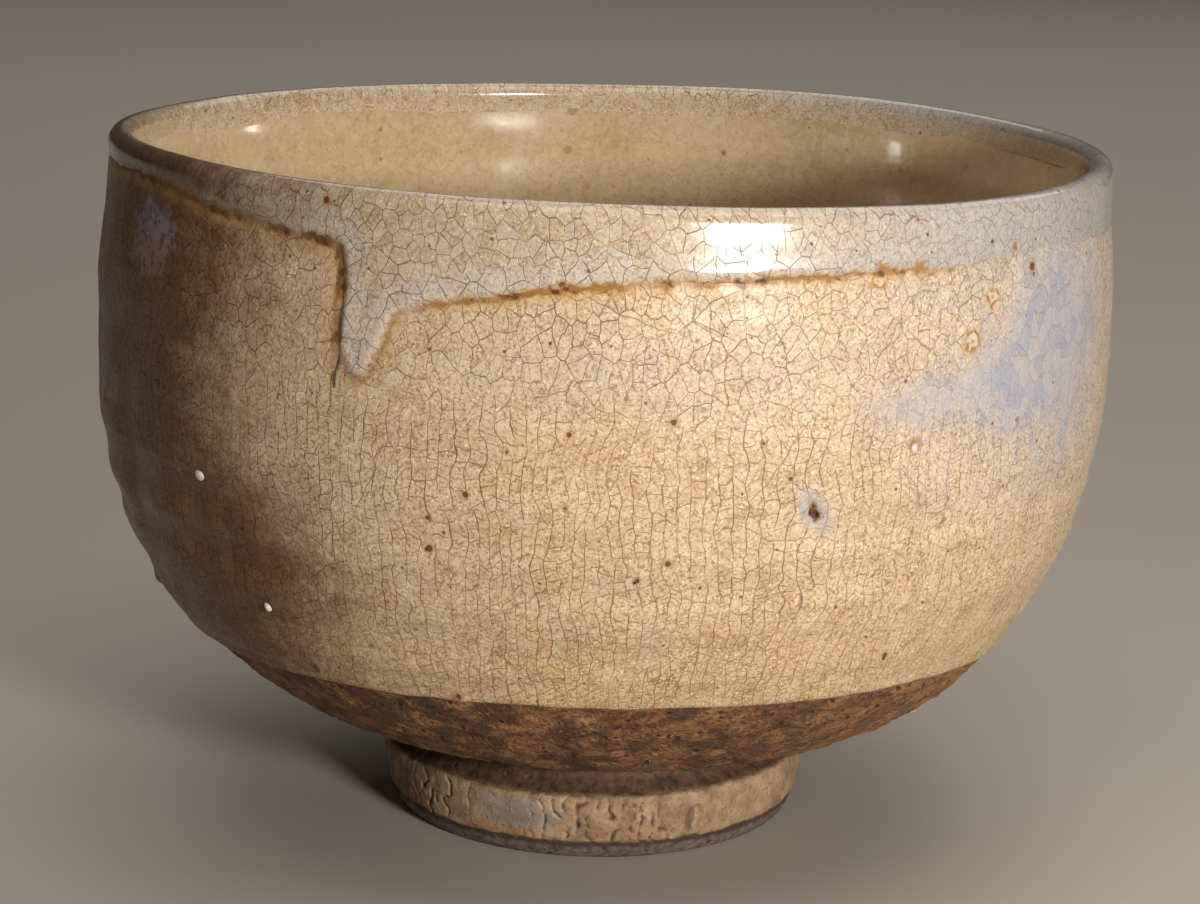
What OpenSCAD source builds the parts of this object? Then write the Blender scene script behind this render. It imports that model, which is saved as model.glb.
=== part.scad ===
// Hand-thrown stoneware matcha bowl: a half-cylinder wall on a turned foot ring,
// with a crackled glaze inside and out and a second dip of glaze round the rim.
// The origin is the middle of the resting face, +Z points up out of the bowl,
// and the glaze run hangs on the -Y side, left of the middle.
// The clay and its coats share the same profile points, so they meet face to face.

/* [Bowl] */
// Height of the rim above the table
bowl_h = 85; // [80:0.5:90]
// Diameter over the glaze at the widest height
bowl_d = 124; // [120:0.5:128]
// Diameter over the coats at the rim
rim_d = 121.6; // [118:0.2:122]
// Height at which the wall is widest
belly_z = 60; // [54:1:64]
// Thickness of the clay at the belly
wall_t = 4.4; // [3.6:0.1:5.2]
// Thickness of the clay at the lip
lip_t = 1.7; // [1.4:0.1:2.2]
// Height of the inside floor at the edge of the tea pool
floor_z = 19; // [18.5:0.1:21]
// Radius of the tea pool, the shallow hollow that the last tea gathers in
pool_r = 13; // [10:0.5:16]
// Depth of the tea pool
pool_depth = 0.9; // [0.5:0.1:1.2]

/* [Hip and foot] */
// Diameter of the hip's lower edge, where the turned underside starts
hip_d = 63; // [61:0.5:66]
// Height of the turned underside above the table
hip_z = 13.2; // [12.6:0.1:14]
// Diameter of the foot ring
foot_d = 52.8; // [51:0.2:55]
// Width of the foot ring's wall
foot_wall = 6; // [5:0.2:7]
// Height of the clay inside the foot ring
under_z = 9.6; // [9:0.1:11]
// Height of the small cone left at the middle by the turning tool
nipple_h = 0.9; // [0.5:0.1:1.2]
// Height of the chamfer round the foot's bottom edge
foot_chamfer = 1.2; // [0.8:0.1:1.6]

/* [Glaze] */
// Thickness of the first coat, inside and out
glaze_t = 0.5; // [0.4:0.05:0.7]
// Height at which the outside coat stops above the bare clay
glaze_line_z = 28; // [25:0.5:30]
// Thickness of the second coat round the rim
overlap_t = 0.4; // [0.3:0.05:0.6]
// Height of the second coat's lower edge
overlap_line_z = 77; // [75:0.5:79]
// Height of the lowest point of the run below the second coat
run_z = 65.4; // [62:0.2:70]
// Width of the run
run_w = 4.6; // [3:0.2:6]
// Direction of the run, in degrees left of the -Y direction
run_angle = 26; // [10:1:60]
// Thickness of the thin wash on the foot ring
wash_t = 0.3; // [0.2:0.05:0.4]

/* [Grains] */
// Radius of a white feldspar grain
feldspar_r = 0.8; // [0.6:0.05:0.9]
// Radius of a dark iron grain
iron_r = 0.6; // [0.4:0.05:0.8]

/* [Hidden] */
$fn = 72;

// Colours
clay_colour = "peru";
foot_colour = "burlywood";
glaze_colour = "wheat";
overlap_colour = "lightgray";
wash_colour = "tan";
feldspar_colour = "white";
iron_colour = "saddlebrown";

// Sizes worked out from the driving ones
belly_r = bowl_d / 2 - glaze_t;
lip_r = lip_t / 2;
lip_centre = [rim_d / 2 - glaze_t - overlap_t - lip_r, bowl_h - glaze_t - overlap_t - lip_r];
hip_r = hip_d / 2;
foot_r = foot_d / 2;
foot_bore_r = foot_r - foot_wall;
inner_belly_r = belly_r - wall_t;
groove_depth = 1.6;
peg_depth = 1;
feldspar_rise = 0.35;
dome_r = 2 * peg_depth;
cutter_r = bowl_d;
join = 1;

// Where the grains are: degrees to the right of the -Y direction, then the height
feldspar_places = [[33, 58.5], [-46, 51], [-39, 37], [1, 56], [150, 48], [-120, 60]];
iron_places = [
    [-3, 61], [7, 62.5], [-13, 54], [-17, 50], [4, 45], [35, 33],
    [43, 73.5], [40, 69], [22, 52], [-35, 31], [120, 62], [-140, 44]
];

// A point part of the way along a cubic curve given by four control points
function cubic_at(p, t) =
    p[0] * pow(1 - t, 3) + p[1] * 3 * t * pow(1 - t, 2)
    + p[2] * 3 * t * t * (1 - t) + p[3] * pow(t, 3);

// The points of a cubic curve, without its last one
function cubic(p, steps) = [for (i = [0 : steps - 1]) cubic_at(p, i / steps)];

// The points of an arc, without its last one
function arc(centre, r, from, to, steps) =
    [for (i = [0 : steps - 1])
        let (a = from + (to - from) * i / steps)
            centre + r * [cos(a), sin(a)]];

function unit(v) = v / norm(v);

// A path moved sideways by d, to the right of its own direction
function shifted(path, d) =
    let (last = len(path) - 1)
    [for (i = [0 : last])
        let (along = unit(path[min(i + 1, last)] - path[max(i - 1, 0)]))
            path[i] + d * [along[1], -along[0]]];

function reversed(path) = [for (i = [len(path) - 1 : -1 : 0]) path[i]];

// The clay's outside, from the hip's lower edge up to the top of the lip
hip_curve = [
    [hip_r, hip_z], [hip_r + 13, hip_z + 1.8],
    [belly_r, belly_z / 2], [belly_r, belly_z]
];
wall_curve = [
    [belly_r, belly_z], [belly_r + 0.2, belly_z + 8],
    lip_centre + [lip_r + 0.5, -7], lip_centre + [lip_r, 0]
];
lip_top = lip_centre + [0, lip_r];
outside = concat(
    cubic(hip_curve, 14), cubic(wall_curve, 6), arc(lip_centre, lip_r, 0, 90, 4), [lip_top]
);

// The clay's inside, from the top of the lip down to the edge of the tea pool
inner_wall_curve = [
    lip_centre - [lip_r, 0], lip_centre - [lip_r + 0.6, 8],
    [inner_belly_r, belly_z + 6], [inner_belly_r, belly_z]
];
floor_curve = [
    [inner_belly_r, belly_z], [inner_belly_r, belly_z / 2],
    [inner_belly_r - 13, floor_z + 1.6], [pool_r, floor_z]
];
inside = concat(
    arc(lip_centre, lip_r, 90, 180, 4), cubic(inner_wall_curve, 6), cubic(floor_curve, 14),
    [[pool_r, floor_z]]
);

// The tea pool, from its edge to the axis
pool = [
    [pool_r - 1.6, floor_z - 0.6 * pool_depth],
    [pool_r - 4, floor_z - 0.9 * pool_depth],
    [0, floor_z - pool_depth]
];

// The turned underside, from the small cone at its middle out to the foot ring
underside = [
    [0, under_z - nipple_h],
    [foot_bore_r * 0.4, under_z],
    [foot_bore_r, under_z],
    [foot_bore_r, hip_z]
];

// Radius of a path at a height on the wall
function radius_at(path, z) = lookup(z, [for (p = path) [p[1], p[0]]]);

// The foot ring's outside, from the chamfer up to the groove under the hip
foot_outside = [
    [foot_r - foot_chamfer, 0],
    [foot_r - 0.2, foot_chamfer],
    [foot_r, hip_z * 0.3],
    [foot_r - 0.3, hip_z * 0.62],
    [foot_r - 1, hip_z * 0.76],
    [foot_r - groove_depth, hip_z * 0.88],
    [foot_r - groove_depth, hip_z]
];
foot_wash_path = [for (p = foot_outside) if (p[1] > 0 && p[1] < hip_z * 0.8) p];

// Everything above a height
module above(z) {
    translate([0, 0, z]) cylinder(r = cutter_r, h = bowl_h);
}

// A solid of revolution between a path and the same path moved outwards twice
module coat(path, inner_d, outer_d) {
    rotate_extrude()
        polygon(concat(shifted(path, inner_d), reversed(shifted(path, outer_d))));
}

// Puts its children at each place on a path, with their +Z axis pointing out of the wall
module at_places(places, path) {
    for (place = places)
        rotate([0, 0, place[0] - 90])
            translate([radius_at(path, place[1]), 0, place[1]])
                rotate([0, 90, 0])
                    children();
}

// Round pegs that run from inside the clay to outside every coat
module pegs(places, r) {
    at_places(places, outside)
        translate([0, 0, -peg_depth]) cylinder(r = r, h = 2 * peg_depth, $fn = 24);
}

// The outline of the run, seen from outside the bowl: a tongue with a round end
module run_outline() {
    tip_r = run_w / 2 - 0.5;
    shoulder = 4;
    translate([0, run_z + tip_r]) circle(r = tip_r);
    polygon([
        [-tip_r, run_z + tip_r], [tip_r, run_z + tip_r],
        [run_w / 2 + 0.4, overlap_line_z - shoulder],
        [run_w / 2 + shoulder, overlap_line_z + join],
        [-run_w / 2, overlap_line_z + join]
    ]);
}

// The prism that cuts the run out of the second coat
module run_cutter() {
    rotate([0, 0, -run_angle])
        rotate([90, 0, 0])
            linear_extrude(height = cutter_r) run_outline();
}

// Thrown wall and floor, with the turned underside and its centre cone
module clay_body() {
    color(clay_colour)
        difference() {
            rotate_extrude()
                polygon(concat(underside, outside, [for (i = [1 : len(inside) - 1]) inside[i]], pool));
            pegs(feldspar_places, feldspar_r);
            pegs(iron_places, iron_r);
        }
}

// Foot ring turned under the hip, with a groove where it meets the wall
module foot_ring() {
    color(foot_colour)
        rotate_extrude()
            polygon(concat([[foot_bore_r + 0.4, 0]], foot_outside, [[foot_bore_r, hip_z]]));
}

// First coat on the outside, from above the bare clay band up to the lip
module outer_glaze() {
    color(glaze_colour)
        difference() {
            intersection() {
                coat(outside, 0, glaze_t);
                above(glaze_line_z);
            }
            pegs(feldspar_places, feldspar_r);
        }
}

// First coat on the inside, over the wall and the tea pool
module inner_glaze() {
    clay_path = concat(inside, pool);
    last = len(clay_path) - 1;
    surface = shifted(clay_path, glaze_t);
    color(glaze_colour)
        rotate_extrude()
            polygon(concat(
                clay_path,
                [clay_path[last] + [0, glaze_t]],
                [for (i = [last - 1 : -1 : 0]) surface[i]]
            ));
}

// Second coat round the rim, with one run
module overlap_glaze() {
    color(overlap_colour)
        intersection() {
            coat(outside, glaze_t, glaze_t + overlap_t);
            union() {
                above(overlap_line_z);
                run_cutter();
            }
            above(run_z);
        }
}

// Thin wash of glaze on the outside of the foot ring
module foot_wash() {
    color(wash_colour) coat(foot_wash_path, 0, wash_t);
}

// White stone grains that stand out of the clay and through the first coat, with round heads
module feldspar_grains() {
    color(feldspar_colour)
        intersection() {
            pegs(feldspar_places, feldspar_r);
            at_places(feldspar_places, outside)
                translate([0, 0, glaze_t + feldspar_rise - dome_r])
                    sphere(r = dome_r, $fn = 24);
        }
}

// Dark grains that lie flush in the clay, under the first coat
module iron_grains() {
    color(iron_colour)
        intersection() {
            pegs(iron_places, iron_r);
            rotate_extrude($fn = 360) polygon(concat([[0, hip_z]], outside, [[0, bowl_h]]));
        }
}

clay_body();
foot_ring();
outer_glaze();
inner_glaze();
overlap_glaze();
foot_wash();
feldspar_grains();
iron_grains();
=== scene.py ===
"""Matcha bowl: hand-thrown clay, crackled glazes and stone grains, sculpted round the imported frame.

Shapes are worked out in millimetres. A point on the clay is given by its angle (from the -Y
direction, positive to the right) and its length along the profile, which runs from the middle of
the underside, out over the hip, up the wall, over the lip and down to the middle of the floor.
"""

import itertools
import math

import bmesh
import bpy
import numpy as np
from mathutils import Euler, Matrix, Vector


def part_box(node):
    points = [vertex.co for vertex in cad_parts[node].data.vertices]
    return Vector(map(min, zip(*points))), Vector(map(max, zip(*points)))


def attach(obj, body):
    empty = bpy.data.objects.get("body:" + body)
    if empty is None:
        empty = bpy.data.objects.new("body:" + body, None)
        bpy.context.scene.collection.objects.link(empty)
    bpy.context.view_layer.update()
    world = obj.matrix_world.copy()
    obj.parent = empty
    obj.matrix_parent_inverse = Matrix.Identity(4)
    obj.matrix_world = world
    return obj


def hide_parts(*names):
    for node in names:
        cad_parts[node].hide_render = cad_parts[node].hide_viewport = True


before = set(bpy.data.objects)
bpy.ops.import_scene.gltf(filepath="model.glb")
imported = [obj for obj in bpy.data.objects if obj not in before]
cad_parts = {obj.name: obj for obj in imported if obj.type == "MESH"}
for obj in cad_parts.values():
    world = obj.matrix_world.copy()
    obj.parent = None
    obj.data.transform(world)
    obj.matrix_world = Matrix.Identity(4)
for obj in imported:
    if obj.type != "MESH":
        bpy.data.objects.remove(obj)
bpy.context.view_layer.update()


# ---------------------------------------------------------------- sizes from the frame, in mm

def box_mm(node):
    """A CAD node's lowest and highest corners."""
    return [np.array(corner) * 1000 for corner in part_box(node)]


CLAY_LOW, CLAY_HIGH = box_mm("clay_body")
FOOT_LOW, FOOT_HIGH = box_mm("foot_ring")
RUN_Z = box_mm("overlap_glaze")[0][2]
RIM_Z = box_mm("overlap_glaze")[1][2]
LINE_Z = box_mm("outer_glaze")[0][2]
POOL_Z = box_mm("inner_glaze")[0][2]
BELLY_R = CLAY_HIGH[0]
FOOT_R = FOOT_HIGH[0]
HIP_Z = FOOT_HIGH[2]

COAT = 0.45
RIM_COAT = 0.36
WASH = 0.22
WALL = 4.4
LIP_R = 0.85
LIP = np.array([BELLY_R - 2.45, RIM_Z - COAT - RIM_COAT - LIP_R])
HIP_R = FOOT_R + 5.1
BORE_R = FOOT_R - 6
BELLY_Z = 60
FLOOR_Z = POOL_Z + 0.9
POOL_R = 13


# ---------------------------------------------------------------- small maths

def smoothstep(low, high, value):
    """0 at low, 1 at high and smooth between them. high may be below low."""
    t = np.clip((value - low) / (high - low), 0, 1)
    return t * t * (3 - 2 * t)


def hump(value, centre, width):
    """1 at the centre, falling smoothly to 0 over about twice the width."""
    return np.exp(-((value - centre) / width) ** 2)


def turned(angle, degrees):
    """The signed angle in degrees from a direction to each angle, the short way round."""
    return (np.degrees(angle) - degrees + 180) % 360 - 180


def cubic(p0, p1, p2, p3, steps):
    """The points of a cubic curve, without its last one."""
    t = np.linspace(0, 1, steps, endpoint=False)[:, None]
    p0, p1, p2, p3 = (np.array(p, float) for p in (p0, p1, p2, p3))
    return (1 - t) ** 3 * p0 + 3 * t * (1 - t) ** 2 * p1 + 3 * t * t * (1 - t) * p2 + t ** 3 * p3


def arc(centre, radius, start, end, steps):
    """The points of an arc, without its last one."""
    a = np.radians(np.linspace(start, end, steps, endpoint=False))[:, None]
    return centre + radius * np.hstack([np.cos(a), np.sin(a)])


def through(points, steps=8):
    """A smooth curve through given points (Catmull-Rom)."""
    p = np.array(points, float)
    p = np.vstack([2 * p[0] - p[1], p, 2 * p[-1] - p[-2]])
    t = np.linspace(0, 1, steps, endpoint=False)[:, None]
    spans = []
    for a, b, c, d in zip(p, p[1:], p[2:], p[3:]):
        spans.append(0.5 * (2 * b + (c - a) * t + (2 * a - 5 * b + 4 * c - d) * t ** 2
                            + (3 * b - a - 3 * c + d) * t ** 3))
    return np.vstack(spans + [p[-2:-1]])


class Noise:
    """Smooth value noise from -1 to 1 on a repeating lattice, the same on each run."""

    SIZE = 64

    def __init__(self, seed):
        self.lattice = np.random.default_rng(seed).uniform(-1, 1, (self.SIZE,) * 3)

    def __call__(self, points, scale, octaves=1):
        total, scale = 0, np.array(scale, float)
        for octave in range(octaves):
            share = 2.0 ** octave
            total = total + self.layer(points / (scale / share) + 7 * octave) / share
        return total

    def layer(self, p):
        cell = np.floor(p).astype(int)
        part = p - cell
        part = part * part * (3 - 2 * part)
        total = 0
        for corner in itertools.product((0, 1), repeat=3):
            i, j, k = np.moveaxis((cell + corner) % self.SIZE, -1, 0)
            weight = np.prod(np.where(corner, part, 1 - part), axis=-1)
            total = total + weight * self.lattice[i, j, k]
        return total


class Path:
    """A profile in the (radius, height) plane, read by its length."""

    def __init__(self, points):
        self.points = np.array(points, float)
        steps = np.hypot(*np.diff(self.points, axis=0).T)
        self.length = np.concatenate([[0], np.cumsum(steps)])
        along = np.gradient(self.points, self.length, axis=0)
        along /= np.linalg.norm(along, axis=1, keepdims=True)
        self.normal = np.stack([along[:, 1], -along[:, 0]], axis=1)

    def at(self, s):
        """Radius, height and the outward normal's two parts at each length."""
        columns = [*self.points.T, *self.normal.T]
        return [np.interp(s, self.length, column) for column in columns]


# ---------------------------------------------------------------- the clay's profile

UNDERSIDE = [
    [0, CLAY_LOW[2]], [3, CLAY_LOW[2] + 0.15], [7, 9.5], [12, 9.75], [BORE_R - 1.5, 9.7],
    [BORE_R + 1.2, 10.2], [FOOT_R - 3, HIP_Z - 1.2], [FOOT_R - 1.2, HIP_Z - 0.1],
    [FOOT_R + 1.5, HIP_Z + 0.5],
]
HIP = cubic([HIP_R - 0.8, HIP_Z + 0.7], [HIP_R + 12, HIP_Z + 2.2], [BELLY_R, 30], [BELLY_R, BELLY_Z], 40)
UPPER_WALL = cubic([BELLY_R, BELLY_Z], [BELLY_R + 0.2, 68], LIP + [LIP_R + 0.5, -7], LIP + [LIP_R, 0], 16)
LIP_ARC = arc(LIP, LIP_R, 0, 180, 12)
INNER_R = BELLY_R - WALL
INNER_WALL = cubic(LIP - [LIP_R, 0], LIP - [LIP_R + 0.6, 8], [INNER_R, 66], [INNER_R, BELLY_Z], 16)
BASIN = cubic([INNER_R, BELLY_Z], [INNER_R, 30], [INNER_R - 13, FLOOR_Z + 1.6], [POOL_R, FLOOR_Z], 40)
POOL = through([
    [POOL_R, FLOOR_Z], [POOL_R - 1.6, FLOOR_Z - 0.5], [POOL_R - 4, POOL_Z + 0.1], [4, POOL_Z], [0, POOL_Z],
], 5)

PARTS = [through(UNDERSIDE, 5), HIP, UPPER_WALL, LIP_ARC, INNER_WALL, BASIN, POOL]
CLAY = Path(np.vstack(PARTS))
STARTS = CLAY.length[np.cumsum([0] + [len(part) for part in PARTS[:-1]])]
_, S_HIP, _, S_LIP, S_INSIDE, S_BASIN, S_POOL = STARTS
S_CREST = (S_LIP + S_INSIDE) / 2
S_END = CLAY.length[-1]
OUTER = CLAY.length < S_CREST
S_RING = np.interp(FOOT_R - 1.2, CLAY.points[:len(PARTS[0]), 0], CLAY.length[:len(PARTS[0])])


def length_at(z):
    """Length along the outside wall at a height."""
    wall = OUTER & (CLAY.length >= S_HIP)
    return np.interp(z, CLAY.points[wall, 1], CLAY.length[wall])


# ---------------------------------------------------------------- what the potter's hands did

clay_noise = Noise(11)
glaze_noise = Noise(23)
edge_noise = Noise(37)

# Throwing ridges and grooves round the outside: height, how far they stand out, half width
RIDGES = [
    (31.5, 0.16, 1.6), (35, -0.24, 1.5), (39, 0.16, 1.8), (42.5, -0.24, 1.4), (45.5, 0.14, 1.5),
    (48.5, -0.20, 1.8), (53, 0.14, 2.5), (58, -0.08, 2.5), (64.5, -0.26, 3.5), (70, 0.14, 4),
    (77.5, -0.08, 3),
    (29.5, 0.09, 0.5), (31, -0.08, 0.55), (40.5, 0.08, 0.55), (44, -0.07, 0.6), (52, 0.06, 0.6),
]
# Soft dents and swellings in the wall: angle, height, depth out of the wall, width, height of each
DENTS = [
    (-62, 48, -0.5, 3.5, 9), (-48, 45, -0.35, 3, 6), (-43, 44, -0.3, 2, 5), (20, 52, -0.22, 4, 3),
    (70, 40, 0.3, 14, 9), (-25, 60, 0.18, 12, 10), (150, 50, -0.4, 12, 9), (-130, 38, 0.3, 10, 8),
]
# Grains and blisters under the glaze that lift it: angle, height, how far, radius
BUMPS = [
    (-35, 29.5, 0.25, 0.9), (35, 33, 0.16, 0.7), (-78, 30.5, 0.7, 1.1), (-16, 29, 0.2, 0.7),
    (-71, 54, 0.3, 1.2), (11, 76, 0.16, 1.6), (-64, 74, 0.12, 0.9), (-13, 54, 0.14, 0.6),
]
# Pinholes where gas burst through the glaze: angle, height, radius
PINHOLES = [(43, 73.5, 0.95), (40, 69, 1.0), (28, 76.5, 0.6), (-118, 66, 0.9), (160, 72, 0.8)]
# The deep burst pit: angle and height, and how far its mark slants in radians
PIT = (22, 52)
PIT_SLANT = -0.62


def round_axis(angle, r, z):
    """Points in space from angle, radius and height."""
    return np.stack(np.broadcast_arrays(r * np.sin(angle), -r * np.cos(angle), z), axis=-1)


def off_place(angle, z, place, radius=61.0):
    """How far points are from a place on the wall, sideways and upwards, in mm."""
    return np.radians(turned(angle, place[0])) * radius, z - place[1]


def outside_relief(angle, z, points):
    """How far the thrown wall stands out of its smooth profile, with its rings and dents."""
    wander = 0.7 * np.sin(angle + 0.6) + 0.3 * np.sin(2 * angle + 2)
    total = sum(depth * hump(z, height + wander, width) for height, depth, width in RIDGES)
    total = total * (0.70 - 0.34 * np.sin(angle))
    total = total + 0.012 * np.sin(2 * math.pi * z / 2.9 + angle)
    total = total + 0.30 * clay_noise(points, 28) + 0.08 * clay_noise(points, (9, 9, 6))
    for place in DENTS:
        across, up = off_place(angle, z, place)
        total = total + place[2] * hump(across, 0, place[3]) * hump(up, 0, place[4])
    return total * smoothstep(14, 20, z)


def glaze_relief(angle, z, points):
    """The first coat's own surface: orange peel, blisters, pinholes and the burst pit."""
    total = 0.018 * glaze_noise(points, 2.6, 2) + 0.04 * glaze_noise(points, 7)
    for place in BUMPS:
        across, up = off_place(angle, z, place)
        total = total + place[2] * hump(np.hypot(across, up), 0, place[3])
    for place in PINHOLES:
        away = np.hypot(*off_place(angle, z, place))
        total = total + 0.10 * hump(away, place[2], 0.35) - 0.22 * hump(away, 0, 0.5 * place[2])
    across, up = off_place(angle, z, PIT)
    along, side = up - 0.9 * across, across + 0.5 * up
    return total - 0.75 * hump(along, 0, 1.5) * hump(side, 0, 0.55)


def band_relief(angle, z, points):
    """Torn, gritty clay where the trimming tool dragged round the hip."""
    streaks = clay_noise(points, (7, 7, 0.9), 2)
    grit = np.clip(clay_noise(points, 0.9, 2) - 0.35, 0, 1)
    chips = np.clip(clay_noise(points, (3.2, 3.2, 1.3)) - 0.45, 0, 1)
    return 0.17 * streaks + 0.3 * grit - 1.1 * chips + 0.18 * clay_noise(points, 2.2)


def inside_relief(angle, s, points):
    """Gentle finger rings inside and the smooth tea pool."""
    rings = 0.045 * np.sin(2 * math.pi * (s - S_INSIDE) / 7.5 + angle)
    calm = 1 - smoothstep(S_BASIN + 20, S_POOL, s)
    return (rings + 0.16 * clay_noise(points, 22)) * calm


def relief(angle, s, points):
    """The clay's own relief at any place on the profile."""
    z = points[..., 2]
    outside = (1 - smoothstep(S_LIP - 4, S_CREST, s)) * smoothstep(S_HIP, S_HIP + 6, s)
    inside = smoothstep(S_CREST, S_INSIDE + 6, s)
    under = 1 - smoothstep(S_HIP - 2, S_HIP + 2, s)
    turning = 0.14 * np.sin(2 * math.pi * s / 2.6 + angle) * smoothstep(1, 5, s)
    return (outside * outside_relief(angle, z, points) + inside * inside_relief(angle, s, points)
            + under * (turning + 0.12 * clay_noise(points, 1.6, 2) * smoothstep(1, 5, s)))


def rim_lift(angle):
    """How the lip rises and falls round the bowl: highest at the left of the front."""
    return (-0.45 + 0.50 * np.cos(angle + math.radians(70)) + 0.35 * np.cos(2 * angle + math.radians(100))
            + 0.10 * np.sin(5 * angle + 1))


LEAN_HEIGHTS = [0, 12, 20, 26, 34, 46, 54, 62, 70, 80]
LEANS = [0, 0.1, 0.45, 0.1, -0.15, -0.25, 0, 0.1, 0.3, 0.45]


def thrown(angle, r, z):
    """Points in space, with the bowl's lean, its oval mouth, tilted hip and uneven rim."""
    share = z / RIM_Z
    r = r * (1 + 0.0035 * share * np.cos(2 * (angle - math.radians(75))))
    lift = smoothstep(0.45, 1, share) * rim_lift(angle) - 0.45 * np.sin(angle) * hump(z, 21, 6)
    points = round_axis(angle, r, z + lift)
    points[..., 0] += np.interp(z, LEAN_HEIGHTS, LEANS)
    return points


def surface(angle, s, offset=0.0, extra=None):
    """Points that lie offset mm out of the clay, and extra(angle, z, points) further."""
    r, z, nr, nz = CLAY.at(s)
    points = round_axis(angle, r, z)
    d = relief(angle, s, points) + offset
    if extra is not None:
        d = d + extra(angle, z, points)
    return thrown(angle, r + d * nr, z + d * nz)


# ---------------------------------------------------------------- edges of the coats

def glaze_line(angle):
    """Length along the wall at which the first coat stops above the bare clay."""
    ring = np.stack([30 * np.sin(angle), 30 * np.cos(angle), 0 * angle], axis=-1)
    wobble = 1.1 * np.cos(2 * angle - 0.15)
    return length_at(LINE_Z - 0.6 + wobble + 0.35 * edge_noise(ring, 9) + 0.15 * edge_noise(ring, 2))


# The second coat's lower edge, with its one run: degrees and height
RIM_EDGE = [
    (-180, 78.5), (-150, 79.5), (-120, 80), (-95, 81), (-75, 82), (-57, 82), (-44, 80.5), (-33, 79.5),
    (-29, 79), (-27.5, 78), (-27, 74), (-27.5, 70.5), (-27, 67.5), (-26, RUN_Z + 0.2),
    (-24, RUN_Z + 0.1), (-23, 67), (-22, 69.5), (-21, 72), (-19, 73), (-15, 74),
    (-10, 75), (-4, 76), (3, 77), (15, 77.5), (28, 78), (36, 78), (48, 78.5), (62, 78),
    (80, 77), (110, 78.5), (140, 77.5), (180, 78.5),
]


def above_rim_edge(angle, z):
    """Signed distance in mm to the second coat's lower edge, positive inside the coat."""
    edge = through(RIM_EDGE, 6)
    edge = np.stack([np.radians(edge[:, 0]) * BELLY_R, edge[:, 1]], axis=1)
    wobble = 0.12 * np.sin(9 * angle) + 0.10 * np.sin(31 * angle + 1) + 0.06 * np.sin(83 * angle)
    x, y = np.broadcast_arrays(turned(angle, 0) * math.radians(1) * BELLY_R, z + wobble)
    nearest, crossings = np.full(x.shape, 1e9), np.zeros(x.shape, int)
    for (ax, ay), (bx, by) in zip(edge, edge[1:]):
        dx, dy = bx - ax, by - ay
        along = np.clip(((x - ax) * dx + (y - ay) * dy) / (dx ** 2 + dy ** 2), 0, 1)
        nearest = np.minimum(nearest, np.hypot(x - ax - along * dx, y - ay - along * dy))
        if dx:
            beside = (x - ax) / dx
            crossings += (beside >= 0) & (beside < 1) & (ay + beside * dy > y)
    return np.where(crossings % 2 == 0, nearest, -nearest)


# ---------------------------------------------------------------- meshes

COLUMNS = 720
# Heights in the bake map: skins that are hidden in the clay end at the first, shown ones start at the second
MAP_HIDDEN, MAP_SHOWN = 0.02, 0.03
# How far from the second coat's edge the stored distance still grows, in mm
EDGE_REACH = 8


def angles(columns=COLUMNS):
    return np.linspace(-math.pi, math.pi, columns, endpoint=False)[None, :]


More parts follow.
